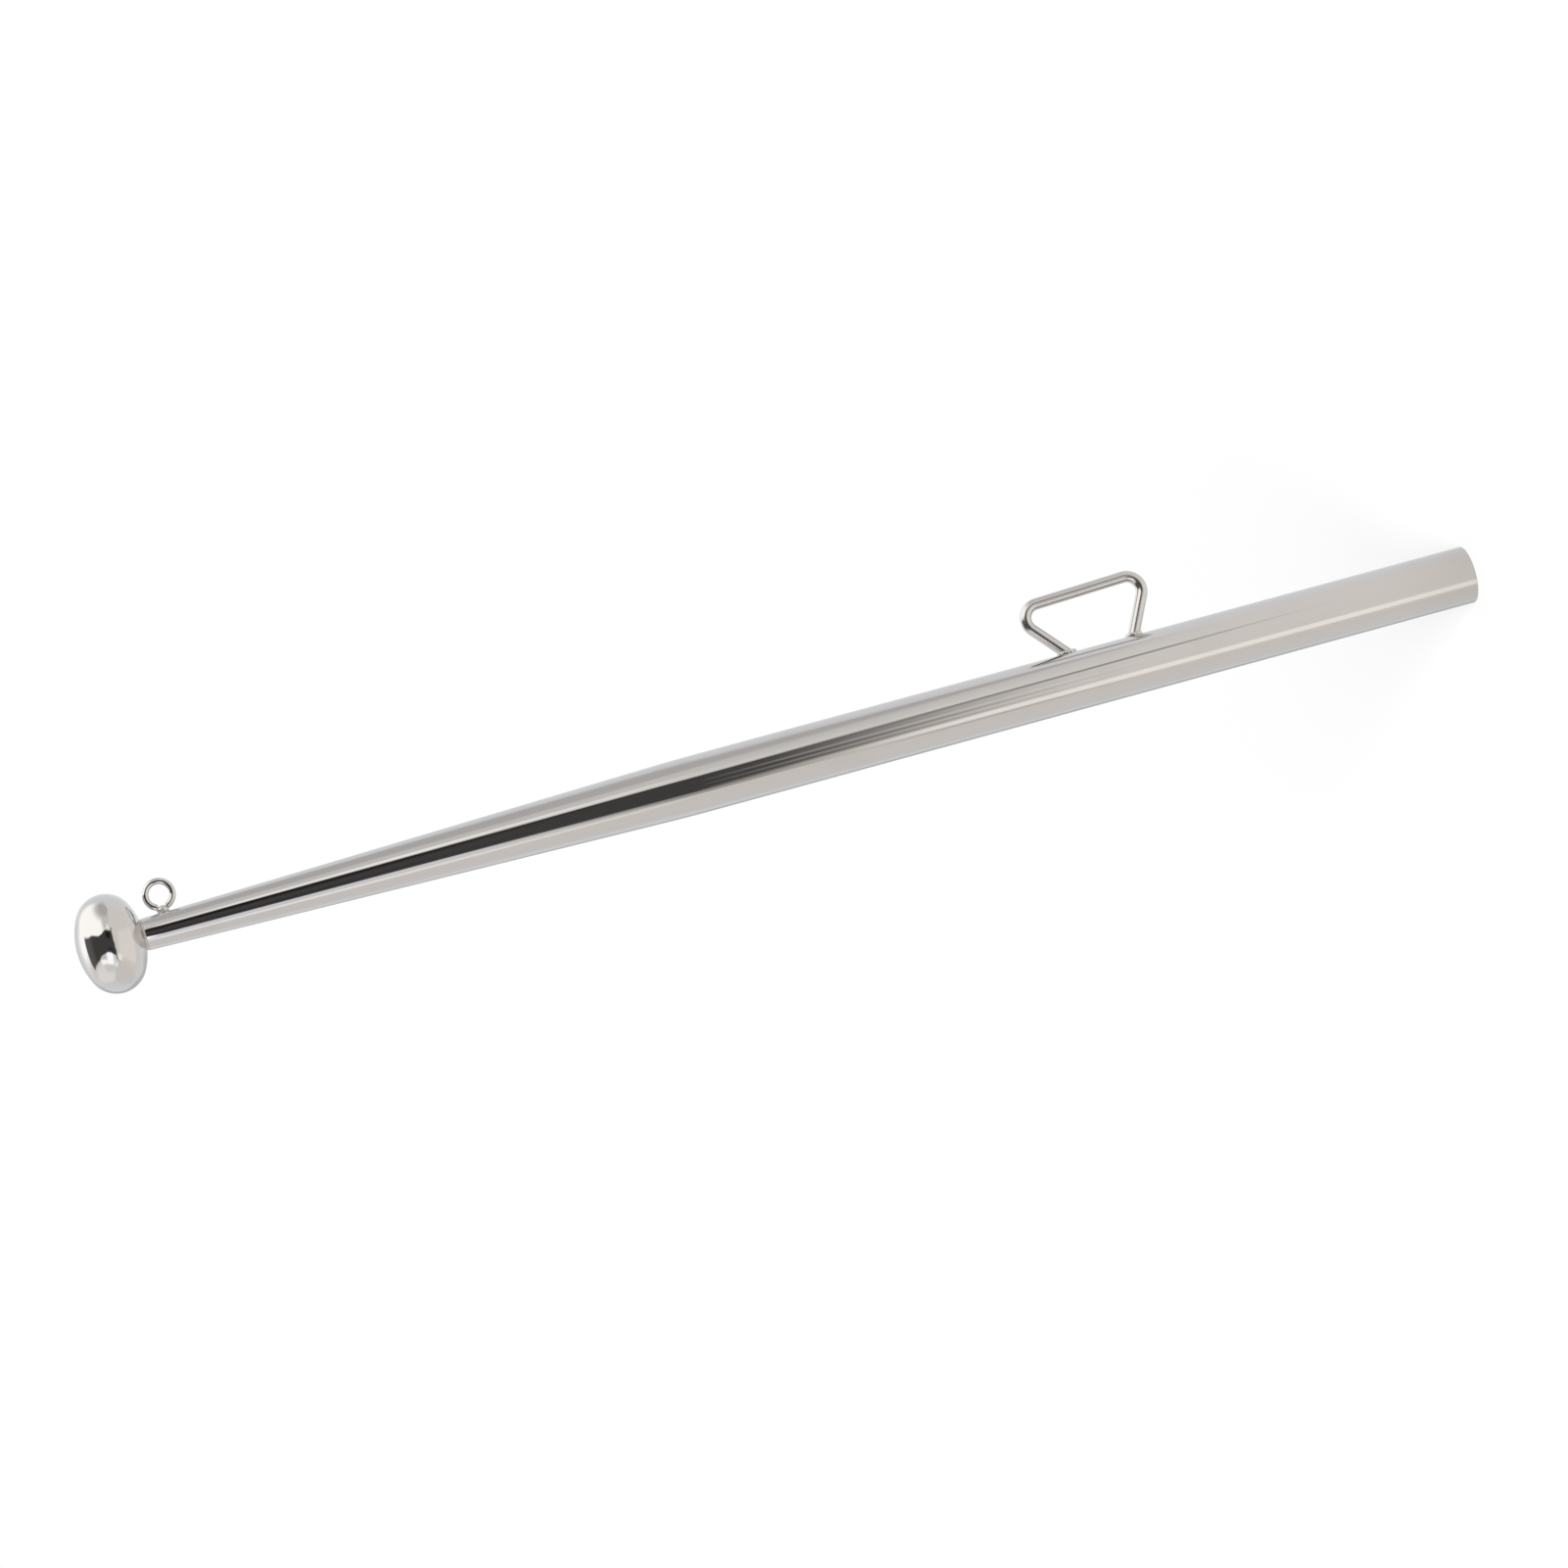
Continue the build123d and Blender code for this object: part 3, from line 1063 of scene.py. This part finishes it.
def cope_feet(piece):
    """Slides what went too deep back along its leg."""
    for vertex in piece.data.vertices:
        if math.hypot(vertex.co.x, vertex.co.y) < cope_radius:
            side = 1 if vertex.co.z > cleat_height else -1
            vertex.co = slide_to_radius(vertex.co, leg_direction(side), cope_radius)


cleat_values = {
    "Wire Radius": cleat_wire_radius,
    "Bend Radius": cleat_bend_radius,
    "Bend Steps": 24,
    "Sides": 64,
    "Material": cleat_finish,
}
cleat = grow("cleat_wire", wire_tree, cleat_path(), False, cleat_values)
cope_feet(cleat)
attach(cleat, "root")
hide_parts("rope_cleat")
print("cleat", len(cleat.data.polygons), "faces")

# %% [markdown]
# ## Weld beads
# A weld is a run of small puddles, each frozen over the last, so a bead has ripples across it and
# is a little lumpy. Sculpting would do for one. Here one Geometry Nodes tree sweeps a round bead
# along any path and pushes its skin out by ripples and by seeded noise. Closed paths go round the
# cleat's feet and the finial's seam, and a short open run with rounded ends fills the eye's gap.


# %% Build the weld tree
MERGE_DISTANCE = 1e-6
RIPPLE_BOW = 0.9


def make_weld_tree():
    inputs = {
        "Bead Radius": "Float",
        "Ripples": "Int",
        "Ripple Height": "Float",
        "Lump Size": "Float",
        "Lump Height": "Float",
        "Round Ends": "Float",
        "Seed": "Float",
        "Sides": "Int",
        "Material": "Material",
    }
    graph, given = new_tree("weld_bead", inputs)
    path = graph.add("GeometryNodeMeshToCurve", None, {"Mesh": given})
    share = graph.add("GeometryNodeSplineParameter", output="Factor")
    from_middle = 2 * share - 1
    rounded = (1 - from_middle * from_middle).math("MAXIMUM", 0.0).math("SQRT")
    swell = 1 + (rounded - 1) * given.other("Round Ends")
    path = store(graph, path, "run", share, "FLOAT")
    section = round_section(graph, given.other("Sides"), given.other("Bead Radius"))
    swept = {"Curve": path, "Profile Curve": section, "Scale": swell, "Fill Caps": False}
    bead = graph.add("GeometryNodeCurveToMesh", None, swept)
    bead = graph.add("GeometryNodeMergeByDistance", None, {"Geometry": bead, "Distance": MERGE_DISTANCE})
    stored = "GeometryNodeInputNamedAttribute"
    run = graph.add(stored, {"data_type": "FLOAT"}, {"Name": "run"})
    side = graph.add(stored, {"data_type": "FLOAT_VECTOR"}, {"Name": "section"})
    across = graph.add("ShaderNodeSeparateXYZ", None, [side])
    phase = run * given.other("Ripples") * math.pi + across * across * RIPPLE_BOW
    ripple = abs(phase.math("SINE")) - 0.5
    place = graph.add("GeometryNodeInputPosition")
    lumps_at = {
        "Vector": place,
        "W": given.other("Seed"),
        "Scale": 1 / given.other("Lump Size"),
        "Detail": 2.0,
    }
    lumps = graph.add("ShaderNodeTexNoise", {"noise_dimensions": "4D"}, lumps_at) - 0.5
    push = ripple * given.other("Ripple Height") + lumps * given.other("Lump Height")
    outward = graph.add("GeometryNodeInputNormal")
    pushed = {"Vector": outward, "Scale": push}
    offset = graph.add("ShaderNodeVectorMath", {"operation": "SCALE"}, pushed)
    bead = graph.add("GeometryNodeSetPosition", None, {"Geometry": bead, "Offset": offset})
    smooth = graph.add("GeometryNodeSetShadeSmooth", None, {"Geometry": bead})
    return close_tree(graph, smooth, given.other("Material"))


weld_tree = make_weld_tree()
print("weld tree", len(weld_tree.nodes), "nodes")

# %% Lay the beads
FOOT_STEPS = 120
NECK_STEPS = 240
RUN_STEPS = 61
bead_stand_off = -0.05 * MM
bead_rise = 0.25 * MM
seam_radius = 6.1 * MM
seam_rise = 0.2 * MM
eye_bead_rise = 1.0 * MM
eye_bead_half = 2.7 * MM
eye_seat_radius = tip_radius + (tube_length - eye_height) * taper_slope


def foot_ring(side):
    """A closed path round one foot of the cleat, where its wire meets the tube."""
    direction = leg_direction(side)
    sideways = Vector((0, 1, 0))
    upward = direction.cross(sideways)
    foot = slide_to_radius(leg_point(side, 0), direction, tube_radius)
    points = []
    for step in range(FOOT_STEPS):
        angle = 2 * math.pi * step / FOOT_STEPS
        offset = upward * math.cos(angle) + sideways * math.sin(angle)
        start = foot + offset * (cleat_wire_radius + bead_stand_off)
        points.append(slide_to_radius(start, direction, tube_radius + bead_rise))
    return points


def seam_ring():
    """A closed path round the neck, between the tube's end and the ball."""
    height = tube_length + seam_rise
    angles = np.linspace(0, 2 * math.pi, NECK_STEPS, endpoint=False)
    return [(seam_radius * math.cos(a), seam_radius * math.sin(a), height) for a in angles]


def gap_run():
    """A short straight path along the tube in the eye's gap."""
    reach = eye_seat_radius + eye_bead_rise
    heights = np.linspace(eye_height - eye_bead_half, eye_height + eye_bead_half, RUN_STEPS)
    return [(reach, 0, height) for height in heights]


foot_bead = {
    "Bead Radius": 1.05 * MM,
    "Ripples": 11,
    "Ripple Height": 0.1 * MM,
    "Lump Size": 2.2 * MM,
    "Lump Height": 0.9 * MM,
    "Round Ends": 0.0,
    "Sides": 40,
    "Material": weld_finish,
}
seam_bead = {
    **foot_bead,
    "Bead Radius": 0.5 * MM,
    "Ripples": 44,
    "Lump Height": 0.3 * MM,
    "Sides": 24,
}
gap_bead = {
    **foot_bead,
    "Bead Radius": 1.9 * MM,
    "Ripples": 4,
    "Ripple Height": 0.06 * MM,
    "Round Ends": 1.0,
}

beads = {
    "cleat_bead_lower": ("cleat_weld_lower", foot_ring(-1), True, foot_bead, 3.0),
    "cleat_bead_upper": ("cleat_weld_upper", foot_ring(1), True, foot_bead, 7.0),
    "finial_seam_bead": ("finial_weld", seam_ring(), True, seam_bead, 11.0),
    "eye_gap_bead": ("eye_weld", gap_run(), False, gap_bead, 16.0),
}
for name, (node, points, closed, values, seed) in beads.items():
    bead = grow(name, weld_tree, points, closed, {**values, "Seed": seed})
    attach(bead, "root")
    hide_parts(node)
    print(name, len(bead.data.polygons), "faces")
